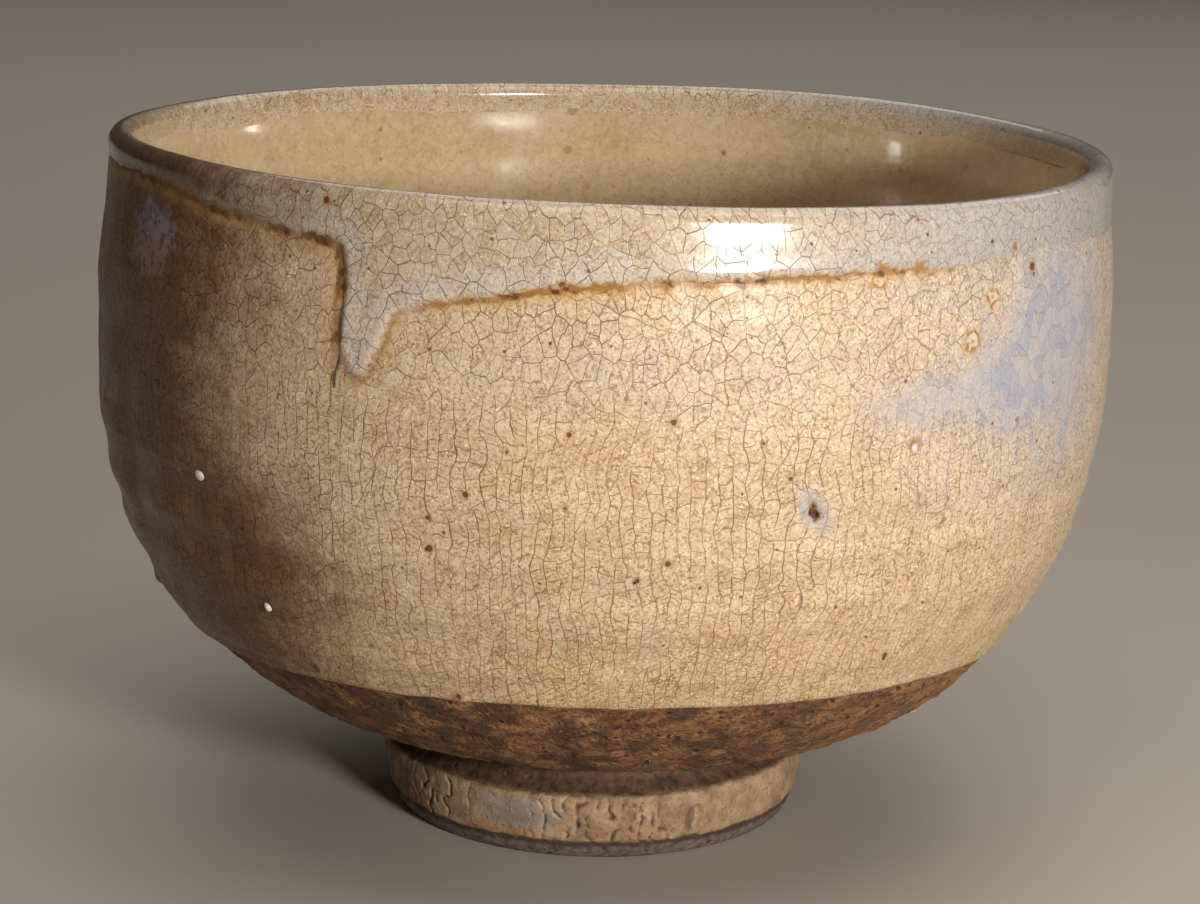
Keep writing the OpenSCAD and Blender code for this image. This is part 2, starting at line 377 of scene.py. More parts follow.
class Build:
    """Gathers vertices, quads, bake map and per-vertex values, and makes one mesh of them."""

    def __init__(self, charts=3):
        self.charts = charts
        self.points, self.values, self.faces, self.maps = [], {}, [], []
        self.count = 0

    def add_grid(self, grid, values):
        """Adds a (rows, columns, 3) grid of points and gives back its vertex numbers."""
        rows, columns = grid.shape[:2]
        self.points.append(grid.reshape(-1, 3))
        for name, value in values.items():
            self.values.setdefault(name, []).append(np.broadcast_to(value, (rows, columns)).ravel())
        numbers = self.count + np.arange(rows * columns).reshape(rows, columns)
        self.count += rows * columns
        return numbers

    def add_quads(self, corners, across, up):
        """corners, across and up are (..., 4): vertex numbers and map places of each quad."""
        across, up = across.reshape(-1, 4), up.reshape(-1, 4)
        chart = np.floor(across.min(axis=1, keepdims=True) * self.charts + 1e-6)
        u = 0.005 + 0.99 * (across * self.charts - chart)
        v = (chart + 0.02 + 0.96 * up) / self.charts
        self.faces.append(corners.reshape(-1, 4))
        self.maps.append(np.stack([u, v], axis=-1).reshape(-1, 2))

    def skin(self, numbers, up, flip=False, keep=None):
        """Quads over a grid that closes on itself sideways. up is each row's place in the map."""
        rows, columns = numbers.shape
        wrapped = np.hstack([numbers, numbers[:, :1]])
        across = np.broadcast_to(np.arange(columns + 1) / columns, (rows, columns + 1))
        ups = np.broadcast_to(np.asarray(up)[:, None], (rows, columns + 1))
        quads = [np.stack([a[:-1, :-1], a[:-1, 1:], a[1:, 1:], a[1:, :-1]], axis=-1)
                 for a in (wrapped, across, ups)]
        if flip:
            quads = [q[..., ::-1] for q in quads]
        if keep is not None:
            quads = [q[keep] for q in quads]
        self.add_quads(*quads)

    def cap(self, ring, centre, values, flip=False):
        """Closes a ring with a fan round a centre point."""
        middle = self.add_grid(np.array(centre, float).reshape(1, 1, 3), values)[0, 0]
        n = len(ring)
        first, second = np.arange(n), (np.arange(n) + 1) % n
        if flip:
            first, second = second, first
        corners = np.stack([ring[first], ring[second], np.full(n, middle)], axis=-1)
        angle = 2 * math.pi * np.stack([first, second], axis=-1) / n
        self.faces.append(corners)
        spread = np.stack([0.5 + 0.004 * np.cos(angle), 0.5 + 0.004 * np.sin(angle)], axis=-1)
        centre_map = np.full((n, 1, 2), 0.5)
        self.maps.append(np.concatenate([spread, centre_map], axis=1).reshape(-1, 2))

    def piece(self, name, node, slot, material):
        """Makes the object, in metres, riding on the bowl's one body."""
        points = np.vstack(self.points) / 1000
        faces = [face for block in self.faces for face in block.tolist()]
        used = np.unique(np.concatenate([block.ravel() for block in self.faces]))
        renumber = np.full(len(points), -1)
        renumber[used] = np.arange(len(used))
        mesh = bpy.data.meshes.new(name)
        mesh.from_pydata(points[used].tolist(), [], [renumber[face].tolist() for face in faces])
        mesh.uv_layers.new(name="OFBake").data.foreach_set("uv", np.vstack(self.maps).ravel())
        for key, blocks in self.values.items():
            layer = mesh.attributes.new(key, "FLOAT", "POINT")
            layer.data.foreach_set("value", np.concatenate(blocks)[used].astype(np.float32))
        mesh.polygons.foreach_set("use_smooth", [True] * len(mesh.polygons))
        return finished(name, mesh, node, material)


def finished(name, mesh, node, material):
    """An object for a mesh, that rides on the bowl and stands for a CAD node."""
    piece = bpy.data.objects.new(name, mesh)
    bpy.context.scene.collection.objects.link(piece)
    mesh.materials.append(material)
    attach(piece, "root")
    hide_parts(node)
    return piece


def spaced(stops, counts):
    """A column of lengths, counts[i] of them from each stop to the next, ending on the last stop."""
    spans = [np.linspace(a, b, n, endpoint=False) for a, b, n in zip(stops, stops[1:], counts)]
    spans[-1] = np.linspace(stops[-2], stops[-1], counts[-1])
    return np.concatenate(spans)[:, None]


def even(start, end, count):
    """Fractions of the way between two lengths that may differ from column to column."""
    t = np.linspace(0, 1, count)[:, None]
    return start + (end - start) * t


def closed_coat(build, outer_points, inner_points, values):
    """A closed shell: a dense outer skin and a sparse inner skin that share their end rows."""
    outer = build.add_grid(outer_points, values)
    inner = build.add_grid(inner_points, {name: 0.0 for name in values})
    build.skin(outer, np.linspace(MAP_SHOWN, 1, len(outer)))
    loop = np.vstack([outer[-1:], inner, outer[:1]])
    build.skin(loop, np.linspace(MAP_HIDDEN, 0, len(loop)))


def cut_coat(build, top, bottom, keep, values):
    """A closed shell over part of a grid: both skins where keep is true, and a wall round its edge."""
    rows, columns = top.shape[:2]
    above = build.add_grid(top, values)
    below = build.add_grid(bottom, {name: 0.0 for name in values})
    build.skin(above, np.linspace(MAP_SHOWN, 1, rows), keep=keep)
    build.skin(below, np.linspace(0, MAP_HIDDEN, rows), flip=True, keep=keep)
    right = np.roll(np.arange(columns), -1)
    i, j = np.nonzero(keep)
    lower = np.vstack([np.zeros((1, columns), bool), keep[:-1]])
    upper = np.vstack([keep[1:], np.zeros((1, columns), bool)])
    sides = [
        (~lower, (i, j), (i, right[j])),
        (~np.roll(keep, -1, axis=1), (i, right[j]), (i + 1, right[j])),
        (~upper, (i + 1, right[j]), (i + 1, j)),
        (~np.roll(keep, 1, axis=1), (i + 1, j), (i, j)),
    ]
    for open_side, start, end in sides:
        edge = open_side[i, j]
        a, b = [tuple(index[edge] for index in corner) for corner in (start, end)]
        corners = np.stack([above[b], above[a], below[a], below[b]], axis=-1)
        across = np.repeat((j[edge] + 0.5)[:, None] / columns, 4, axis=1)
        build.add_quads(corners, across, np.full(corners.shape, MAP_HIDDEN / 2))


# ---------------------------------------------------------------- colour zones on the wall

def zone(angle, z, place, width, height):
    """A soft round patch on the wall."""
    across, up = off_place(angle, z, place)
    return hump(across, 0, width) * hump(up, 0, height)


def wall_zones(angle, z, points):
    """Soft masks for the glaze's colours. Each is 0 to 1 and changes slowly along the wall."""
    drift = 2.5 * edge_noise(points, 12, 2)
    front = turned(angle, 0)
    slanted = z + drift - 0.22 * turned(angle, 47)

    def spot(strength, degrees, height, wide, tall):
        return strength * zone(angle, z + drift, (degrees, height), wide, tall)

    zones = {
        "blue": 0.85 * zone(angle, slanted, (47, 65), 13, 6) + spot(0.75, 58, 71, 13, 11)
        + spot(0.5, 33, 63, 8, 3) + spot(0.4, 58, 56, 9, 8) + spot(0.5, -150, 62, 20, 10),
        "grey": spot(0.6, 2, 68, 24, 5) + spot(0.5, 60, 76, 20, 10)
        + 0.95 * smoothstep(6, 46, front + drift) * smoothstep(125, 85, front) * smoothstep(36, 60, z + drift)
        + spot(0.35, -150, 74, 30, 8),
        "pink": spot(1, -3, 57, 17, 5.5) + spot(0.8, 32, 58, 9, 5) + spot(0.5, 120, 55, 26, 8),
        "ochre": 0.85 * smoothstep(52, 30, z + 0.6 * drift) + 0.35 * hump(z, 48, 4),
        # brown: the side that faced the fire, its darkening on the left partly real colour and partly painted
        # shade
        "brown": smoothstep(-15, -56, front + drift) * smoothstep(-165, -120, front)
        + spot(0.5, -50, 41, 16, 9) + spot(0.25, -27, 40, 16, 4) - spot(0.25, -40, 62, 10, 9),
    }
    return {name: np.clip(value, 0, 1) for name, value in zones.items()}


# ---------------------------------------------------------------- shader helpers

UNROLLED_R = 61.5
# Degrees at which a mask that faces one side has begun and ended its fall towards the back
BACK_START, BACK_END = 125, 175


def wall_spot(angle, z):
    """A place on the unrolled wall, in mm, from degrees and height."""
    return (math.radians(angle) * UNROLLED_R, z, 0)


class Value:
    """A node's output. Arithmetic with it adds the node that does the sum."""

    def __init__(self, shader, socket):
        self.shader, self.socket = shader, socket

    def __add__(self, other):
        return self.shader.math("ADD", self, other)

    def __sub__(self, other):
        return self.shader.math("SUBTRACT", self, other)

    def __rsub__(self, other):
        return self.shader.math("SUBTRACT", other, self)

    def __mul__(self, other):
        return self.shader.math("MULTIPLY", self, other)

    def __truediv__(self, other):
        return self.shader.math("DIVIDE", self, other)

    def step(self, low, high, to_low=0.0, to_high=1.0):
        """Smooth change from to_low to to_high as this goes from low to high."""
        if low > high:
            low, high, to_low, to_high = high, low, to_high, to_low
        ends = {0: self, 1: low, 2: high, 3: to_low, 4: to_high}
        return self.shader.add("MapRange", ends, interpolation_type="SMOOTHSTEP")

    def toward(self, tint, share):
        """This colour, moved by a share of the way to another."""
        return self.shader.mix(share, self, tint)


class Shader:
    """A node material with one Principled shader, and short calls that add nodes to it."""

    def __init__(self, name):
        self.material = bpy.data.materials.new(name)
        self.material.use_nodes = True
        self.tree = self.material.node_tree
        self.bsdf = self.tree.nodes["Principled BSDF"]
        self.mm = self.scaled(self.add("TexCoord", {}, "Object"), 1000)
        x, y, self.height = self.outputs("SeparateXYZ", {0: self.mm}, (0, 1, 2))
        self.turn = self.math("ARCTAN2", x, y * -1.0)
        self.unrolled = self.xyz(self.turn * UNROLLED_R, self.height)

    def outputs(self, kind, inputs, names, **settings):
        """Adds a node and gives back the outputs that are named."""
        node = self.tree.nodes.new("ShaderNode" + kind)
        for key, value in settings.items():
            setattr(node, key, value)
        for socket, value in inputs.items():
            self.put(node.inputs[socket], value)
        return [Value(self, node.outputs[name]) for name in names]

    def add(self, kind, inputs, output=0, **settings):
        return self.outputs(kind, inputs, [output], **settings)[0]

    def put(self, socket, value):
        """Links or sets an input. A colour is given as three numbers."""
        if isinstance(value, Value):
            self.tree.links.new(value.socket, socket)
        elif value is not None:
            socket.default_value = (*value, 1.0) if socket.type == "RGBA" else value

    def scaled(self, vector, factor):
        factors = factor if isinstance(factor, tuple) else (factor,) * 3
        return self.add("VectorMath", {0: vector, 1: factors}, operation="MULTIPLY")

    def shifted(self, vector, offset):
        return self.add("VectorMath", {0: vector, 1: offset}, operation="ADD")

    def math(self, operation, a, b=None):
        return self.add("Math", {0: a, 1: b}, operation=operation)

    def most(self, *values):
        total = values[0]
        for value in values[1:]:
            total = self.math("MAXIMUM", total, value)
        return total

    def value(self, name):
        return self.add("Attribute", {}, "Fac", attribute_name=name)

    def noise(self, size, detail=2.0, vector=None, roughness=0.5, output="Fac"):
        """Noise from about 0.25 to 0.75, with features of the given size in mm."""
        vector = self.mm if vector is None else vector
        inputs = {"Vector": vector, "Scale": 1 / size, "Detail": detail, "Roughness": roughness}
        return self.add("TexNoise", inputs, output)

    def walls(self, size, vector, dimensions="3D"):
        """Distance in mm to the nearest wall between cells of the given size."""
        inputs = {"Vector": vector, "Scale": 1 / size}
        kind = {"feature": "DISTANCE_TO_EDGE", "voronoi_dimensions": dimensions}
        return self.add("TexVoronoi", inputs, "Distance", **kind) * size

    def scatter(self, size, vector=None, dimensions="3D"):
        """Cells' distances from their middles, in cell sizes, and two chance values for each cell."""
        inputs = {"Vector": self.mm if vector is None else vector, "Scale": 1 / size}
        kind = {"feature": "F1", "voronoi_dimensions": dimensions}
        away, colour = self.outputs("TexVoronoi", inputs, ("Distance", "Color"), **kind)
        return away, *self.outputs("SeparateColor", {0: colour}, (0, 1))

    def mix(self, factor, a, b, blend="MIX"):
        return self.add("Mix", {0: factor, 6: a, 7: b}, 2, data_type="RGBA", blend_type=blend)

    def between(self, factor, a, b):
        """A number part of the way from one number to another."""
        return self.add("Mix", {0: factor, 2: a, 3: b})

    def ramp(self, factor, *stops):
        """A colour that runs through stops, each a place and a colour."""
        colour = self.add("ValToRGB", {0: factor}, "Color")
        elements = colour.socket.node.color_ramp.elements
        while len(elements) < len(stops):
            elements.new(0.5)
        for element, (place, stop) in zip(elements, stops):
            element.position = place
            element.color = (*stop, 1.0)
        return colour

    def hash(self, vector):
        return self.add("TexWhiteNoise", {"Vector": vector}, "Value", noise_dimensions="3D")

    def xyz(self, x=0.0, y=0.0, z=0.0):
        return self.add("CombineXYZ", {0: x, 1: y, 2: z})

    def pushed(self, position, size, distances, detail):
        """A position pushed about by a noise, by half of the distances in mm."""
        push = self.shifted(self.noise(size, detail, output="Color"), (-0.5, -0.5, -0.5))
        return self.shifted(position, self.scaled(push, distances))

    def warped(self, *pushes):
        """The position in mm, pushed about by noises given as (size, distance)."""
        position = self.mm
        for size, distance in pushes:
            position = self.pushed(position, size, 2 * distance, 1.0)
        return position

    def torn(self, size, distance):
        """The unrolled position, pushed about so that round marks get ragged edges."""
        return self.pushed(self.unrolled, size, (2 * distance, 2 * distance, 0.0), 3.0)

    def bump(self, height, distance_mm, strength):
        inputs = {"Height": height, "Distance": distance_mm / 1000, "Strength": strength}
        return self.add("Bump", inputs, "Normal")

    def away(self, angle, z, vector=None):
        """Distance in mm along the unrolled wall from a place given in degrees and height."""
        inputs = {0: self.unrolled if vector is None else vector, 1: wall_spot(angle, z)}
        return self.add("VectorMath", inputs, "Value", operation="DISTANCE")

    def near(self, places, outer, inner, vector=None):
        """1 close to any of the places on the wall, fading between two shares of each one's size."""
        total = 0.0
        for angle, z, size in places:
            total = self.most(total, self.away(angle, z, vector).step(size * outer, size * inner))
        return total

    def facing(self, start, full):
        """0 to 1 as the wall turns from start to full degrees, and back to 0 before the far side."""
        side = math.copysign(1.0, full - start)
        rise = self.turn.step(math.radians(start), math.radians(full))
        return rise * self.turn.step(math.radians(BACK_END * side), math.radians(BACK_START * side))

    def set(self, **inputs):
        for name, value in inputs.items():
            self.put(self.bsdf.inputs[name.replace("_", " ").title().replace("Ior", "IOR")], value)
        return self.material


# ---------------------------------------------------------------- crackle

def edge_of(shader, value, spacing):
    """Distance in mm to the nearest whole number of value, where one unit is spacing mm."""
    return (0.5 - shader.math("ABSOLUTE", shader.math("FRACT", value) - 0.5)) * spacing


def upright_cracks(shader, columns=268, rung=1.45):
    """Long cracks that wander up the wall, joined by short rungs that stop at them."""
    spacing = 2 * math.pi * UNROLLED_R / columns
    bend = (shader.noise(19, 1) * 4.6 + shader.noise(5.5, 1) * 1.7 + shader.noise(2.2, 1) * 0.55
        + shader.noise(0.9, 0) * 0.12)
    place = shader.turn * (columns / (2 * math.pi)) + bend
    column = shader.math("FLOORED_MODULO", shader.math("FLOOR", place), float(columns))
    line = shader.math("FLOORED_MODULO", shader.math("ROUND", place), float(columns))
    upright = edge_of(shader, place, spacing)
    own = shader.hash(shader.xyz(column, 3.0))
    tip = shader.hash(shader.xyz(column, shader.math("FLOOR", shader.height * 0.3), 5.0))
    slant = (shader.math("FRACT", place) - 0.5) * (tip - 0.5) * 1.5
    climb = (shader.value("along") * (1 / rung) + own * 17 + slant + shader.noise(3.4, 1) * 2.2
        + shader.noise(1.1, 0) * 0.25)
    rungs = edge_of(shader, climb, rung)
    kept = shader.hash(shader.xyz(column, shader.math("ROUND", climb), 1.0)).step(0.12, 0.17)
    along_line = shader.xyz(line * 7.3, shader.height * 0.25)
    unbroken = shader.noise(1.0, 1, along_line).step(0.34, 0.4)
    width = shader.noise(3.1, 2).step(0.3, 0.7, 0.7, 1.25)
    first = (upright / width).step(0.078, 0.028) * unbroken
    second = (rungs / width).step(0.066, 0.026) * kept * 0.9
    return shader.most(first, second)


def flat_place(shader, squash, size, distance):
    """The wall's skin laid out flat in mm, pushed about by a noise, with a ragged join at the back."""
    sway = (shader.noise(4, 2) - 0.5) * 0.3
    whole = shader.math("FLOORED_MODULO", shader.turn + sway + math.pi, 2 * math.pi)
    place = shader.xyz((whole - sway) * UNROLLED_R, shader.value("along") * squash)
    return shader.pushed(place, size, (2 * distance, 2 * distance * squash, 0.0), 2.0)


def crack_net(shader, size, width, squash=0.6, sway=(3.0, 0.7)):
    """A connected net of cracks round cells that are taller than wide. Gives strength and cell tone."""
    place = flat_place(shader, squash, *sway)
    gap = shader.walls(size, place, "2D") / shader.noise(3.1, 2).step(0.3, 0.7, 0.6, 1.25)
    _, tone, _ = shader.scatter(size, place, "2D")
    return gap.step(width, 0.35 * width), tone


# ---------------------------------------------------------------- materials

CREAM = (0.62, 0.465, 0.32)
BEIGE = (0.55, 0.385, 0.23)
BUTTER = (0.69, 0.54, 0.385)
OCHRE = (0.62, 0.40, 0.18)
UMBER = (0.22, 0.10, 0.030)
CRACK = (0.20, 0.115, 0.06)
RUST = (0.32, 0.145, 0.03)
SCORCH = (0.10, 0.04, 0.015)
PALE_GREY = (0.48, 0.425, 0.39)
LAVENDER = (0.32, 0.35, 0.47)
SALMON = (0.62, 0.40, 0.24)

# Dark specks that show through the wall's glaze: degrees, height, radius in mm
SPECKS = [
    (-3, 61, 0.30), (7, 62.5, 0.36), (-13, 54, 0.36), (-17, 51, 0.28), (-17, 47.5, 0.42), (4, 45, 0.32),
    (35, 33, 0.42), (-16, 29, 0.38), (-35, 29.5, 0.55), (-29, 83.5, 0.42), (7, 47, 0.35), (50, 76, 0.5),
    (43, 79.5, 0.25), (-4, 76.5, 0.42), (16, 60, 0.2), (-9, 75, 0.42), (19, 56, 0.25), (-5, 70.5, 0.2),
    (95, 60, 0.4), (120, 44, 0.45), (-140, 55, 0.4), (175, 63, 0.35), (-100, 47, 0.4), (-170, 38, 0.4),
]
RUST_SPOTS = [
    (38, 49, 0.7), (33, 77.5, 1.2), (6, 76.5, 0.9), (28, 78, 0.8), (12, 77.5, 0.5), (9, 71, 0.35),
    (47, 78.5, 0.7), (-6, 72, 0.35), (130, 70, 0.6), (-150, 60, 0.6),
]


# Stone grains on the outside: degrees, height, size, how far the head stands out
WHITE_GRAINS = [
    (33, 58.5, 0.62, 0.2), (-46, 51, 0.8, 0.42), (-39, 37, 0.6, 0.3), (1, 56, 0.35, 0.08),
    (-57, 20.5, 0.4, 0.2), (58, 20, 0.45, 0.25), (150, 48, 0.7, 0.3), (-120, 60, 0.7, 0.3),
    (110, 35, 0.6, 0.3), (-160, 40, 0.55, 0.25),
]
DARK_GRAINS = [
    (-35, 30, 0.62, 0.25), (35, 33, 0.5, 0.16), (-29, 83.5, 0.42, 0.1), (-17, 47.5, 0.45, 0.12),
    (-13, 54, 0.4, 0.1), (50, 76, 0.4, 0.08), (4, 45, 0.32, 0.06), (-16, 29.5, 0.42, 0.15),
    (20, 22, 0.5, 0.2), (-8, 24, 0.45, 0.2), (-30, 21, 0.5, 0.25), (8, 19, 0.4, 0.2), (120, 44, 0.5, 0.15),
    (-140, 55, 0.45, 0.12), (175, 63, 0.4, 0.1), (-100, 47, 0.45, 0.12),
]


def peppered(shader, colour, spacing, share, radius, tint, strength):
    """Small dark specks scattered at about the given spacing."""
    away, chance, size = shader.scatter(spacing)
    reach = size.step(0.0, 1.0, 0.4 * radius / spacing, radius / spacing)
    inside = (away / reach).step(1.15, 0.75)
    return colour.toward(tint, shader.math("LESS_THAN", chance, share) * inside * strength)


def stains(shader, colour):
    """Iron specks with their rusty halos."""
    colour = peppered(shader, colour, 2.1, 0.5, 0.24, (0.11, 0.06, 0.03), 0.85)
    colour = peppered(shader, colour, 4.1, 0.3, 0.4, (0.28, 0.12, 0.04), 0.7)
    colour = colour.toward((0.44, 0.22, 0.07), shader.near(SPECKS, 2.6, 0.9) * 0.5)
    colour = colour.toward(SCORCH, shader.near(SPECKS, 1.15, 0.7) * 0.9)
    rust = shader.near(RUST_SPOTS, 1.3, 0.3) * shader.noise(0.7, 2).step(0.36, 0.54)
    return colour.toward(RUST, rust * 0.85)


def pit_distance(shader):
    """Distance in mm from the middle of the burst pit, which is a slanting ellipse with a ragged edge."""
    centre = wall_spot(*PIT)
    turned_place = {"Vector": shader.unrolled, "Angle": PIT_SLANT, "Center": centre}
    slope = shader.add("VectorRotate", turned_place, rotation_type="Z_AXIS")
    ellipse = shader.scaled(shader.shifted(slope, [-part for part in centre]), (1.0, 0.5, 1.0))
    length = shader.add("VectorMath", {0: ellipse}, "Value", operation="LENGTH")
    return length + (shader.noise(0.8, 3) - 0.5) * 1.9


def pinhole_marks(shader, colour):
    """A brown ring, a pale ring inside it and a dark hole at each pinhole, and the burst pit."""
    grain_spots = [place[:3] for place in WHITE_GRAINS]
    colour = colour.toward((0.32, 0.17, 0.07), shader.near(grain_spots, 2.0, 1.0) * 0.6)
    ragged = shader.noise(0.7, 3).step(0.36, 0.56, 0.15, 0.9)
    torn = shader.torn(1.1, 0.9)
    for tint, outer, inner, place, strength in [
        ((0.50, 0.33, 0.14), 2.1, 1.0, torn, 0.45), ((0.34, 0.17, 0.04), 1.35, 1.0, torn, ragged),
        ((0.66, 0.56, 0.45), 0.85, 0.6, torn, 0.85), ((0.25, 0.12, 0.05), 0.3, 0.15, None, 0.7),
    ]:
        colour = colour.toward(tint, shader.near(PINHOLES, outer, inner, place) * strength)
    away = pit_distance(shader)
    colour = colour.toward((0.40, 0.39, 0.41), away.step(2.0, 0.9, 0.0, 0.65))
    colour = colour.toward((0.30, 0.15, 0.06), away.step(0.75, 0.5, 0.0, 0.9))
    return colour.toward((0.03, 0.014, 0.007), away.step(0.5, 0.25))


def sugared(shader, colour, strength=1.0):
    """Fine cloudy grain, lighter and darker, as in a glaze full of tiny bubbles."""
    light = shader.noise(0.9, 4, roughness=0.7).step(0.42, 0.64, 0.0, 0.42 * strength)
    colour = colour.toward((0.8, 0.63, 0.42), light)
    dark = shader.noise(0.36, 3, roughness=0.6).step(0.47, 0.64, 0.0, 0.8 * strength)
    colour = colour.toward((0.33, 0.19, 0.085), dark)
    dots = shader.noise(0.27, 2, shader.shifted(shader.mm, (31, 7, 3)))
    return colour.toward((0.92, 0.8, 0.62), dots.step(0.58, 0.7, 0.0, 0.7 * strength))


def patch(shader, name, index):
    """A colour zone's mask with a cloudy edge."""
    moved = shader.shifted(shader.mm, (13.0 * index, 0, 0))
    spread = shader.noise(3.5, 5, moved, roughness=0.7) - 0.5
    return (shader.value(name) + spread * 1.1).step(0.0, 1.05)


def fire_side_and_shade(shader, colour):
    """The side that faced the fire: darker and redder, partly real colour and partly painted shade on the
    left, with one painted lavender reflection under the rim.
    """
    # Painted shade: the left side darkened, on top of the fire's real darkening.
    colour = shader.mix(patch(shader, "brown", 5) * 0.92, colour, UMBER, "MULTIPLY")
    # Painted reflection: a lavender patch under the rim on the dark left side.
    ragged = (shader.noise(2.2, 5, roughness=0.7) - 0.5) * 9
    painted_reflection = (shader.away(-56, 75.5) + ragged).step(5.6, 3.0, 0.0, 0.7)
    tint = shader.mix(shader.height.step(74, 78), (0.4, 0.27, 0.24), (0.34, 0.31, 0.5))
    speckled = shader.noise(0.9, 4, roughness=0.7).step(0.62, 0.5)
    return colour.toward(tint, painted_reflection * speckled)


def wall_colour(shader):
    """The first coat's own colour: clouds, fine mottling and colour zones."""
    cloud = shader.noise(12, 4, roughness=0.6)
    colour = shader.ramp(cloud, (0.36, BEIGE), (0.5, CREAM), (0.66, BUTTER))
    for index, (name, tint, strength) in enumerate([("ochre", OCHRE, 0.85), ("pink", SALMON, 0.7)]):
        colour = colour.toward(tint, patch(shader, name, index) * strength)
    tea = shader.noise(5, 5, shader.shifted(shader.mm, (0, 0, 77)), roughness=0.65).step(0.48, 0.66)
    colour = colour.toward((0.42, 0.255, 0.115), tea * 0.42)
    drift = (shader.noise(5, 4, roughness=0.65) - 0.5) * 14
    rings = shader.noise(4.5, 3, shader.scaled(shader.mm, (0.1, 0.1, 1.0)), roughness=0.6)
    colour = colour.toward((0.44, 0.285, 0.145), rings.step(0.52, 0.68, 0.0, 0.35))
    colour = colour.toward((0.77, 0.61, 0.43), rings.step(0.48, 0.34, 0.0, 0.35))
    colour = colour.toward(PALE_GREY, patch(shader, "grey", 2) * 0.72)
    ashen = shader.facing(20, 44) * (shader.height + drift).step(69, 77)
    colour = colour.toward((0.43, 0.41, 0.405), ashen * 0.75)
    blotch = shader.noise(2.4, 5, shader.shifted(shader.mm, (5, 50, 9)), roughness=0.7)
    colour = colour.toward((0.41, 0.31, 0.22), blotch.step(0.54, 0.66, 0.0, 0.4))
    colour = colour.toward((0.76, 0.61, 0.46), blotch.step(0.46, 0.36, 0.0, 0.4))
    colour = sugared(shader, colour, 1.15)
    bloom = shader.noise(0.8, 4, roughness=0.7).step(0.35, 0.65, 0.6, 0.95)
    return colour.toward(LAVENDER, patch(shader, "blue", 3) * bloom)


def iron_edge(shader, colour):
    """The rust line where the second coat ends."""
    ragged = (shader.noise(1.3, 4, roughness=0.6) - 0.5) * 1.9
    away = shader.value("edge") + ragged
    away = away / shader.facing(-22, -28).step(0.0, 1.0, 1.0, 1.6)
    line = away.step(-0.6, -0.15) * away.step(0.5, 0.15)
    patchy = shader.noise(3.5, 2).step(0.38, 0.54, 0.4, 1.0)
    strength = line * patchy * shader.value("rust")
    amber = away.step(-1.6, -0.3) * away.step(0.9, 0.2) * shader.value("rust") * patchy
    colour = colour.toward((0.54, 0.33, 0.11), amber * 0.55)
    deep = shader.facing(-18, -30)
    colour = colour.toward(shader.mix(deep, RUST, (0.17, 0.065, 0.015)), strength * 0.95)
    knots = strength * shader.noise(1.2, 2).step(0.54, 0.64)
    return colour.toward(SCORCH, knots)


def crackle_glaze():
    """The first coat outside: warm crackled glaze over iron-bearing clay."""
    shader = Shader("crackle_glaze")
    colour = wall_colour(shader)
    ladder = upright_cracks(shader)
    net, tone = crack_net(shader, 1.65, 0.064, 0.7)
    high = (shader.height + shader.noise(7, 2) * 14).step(68, 73)
    ladder = shader.between(high, ladder, net)
    low = shader.height.step(46, 34, 0.25, 0.7)
    colour = colour.toward((0.82, 0.68, 0.5), tone.step(0.0, 1.0, 0.0, 0.2))
    hair = shader.walls(0.85, shader.warped((1.2, 0.2))).step(0.055, 0.02)
    hair = hair * shader.noise(7, 2).step(0.4, 0.6, 0.5, 1.0) * low
    sweep, _ = crack_net(shader, 13, 0.07, 0.7, (9, 2.5))
    sweep = sweep * shader.noise(11, 1).step(0.42, 0.55, 0.0, 0.8)
    cracks = shader.most(ladder, sweep, hair)
    faint = shader.value("blue").step(0.05, 0.6, 1.0, 0.45) * shader.facing(5, 50).step(0.0, 1.0, 1.0, 0.75)
    fresh = shader.noise(9, 2).step(0.34, 0.6, 0.6, 0.9) * faint
    colour = colour.toward(CRACK, cracks * fresh)
    thin = shader.value("line").step(0.9, 0.15)
    colour = colour.toward((0.42, 0.25, 0.1), thin * 0.75)
    colour = fire_side_and_shade(shader, pinhole_marks(shader, stains(shader, colour)))
    colour = iron_edge(shader, colour)
    height = cracks * -0.8 + shader.noise(0.9, 3) * 1.1 + shader.noise(0.28, 2) * 0.5
    rough = shader.noise(6, 3).step(0.3, 0.7, 0.34, 0.5) + cracks * 0.2
    return shader.set(base_color=colour, roughness=rough, normal=shader.bump(height, 0.06, 0.7),
        coat_weight=0.12, coat_roughness=0.2, ior=1.45, specular_ior_level=0.4)


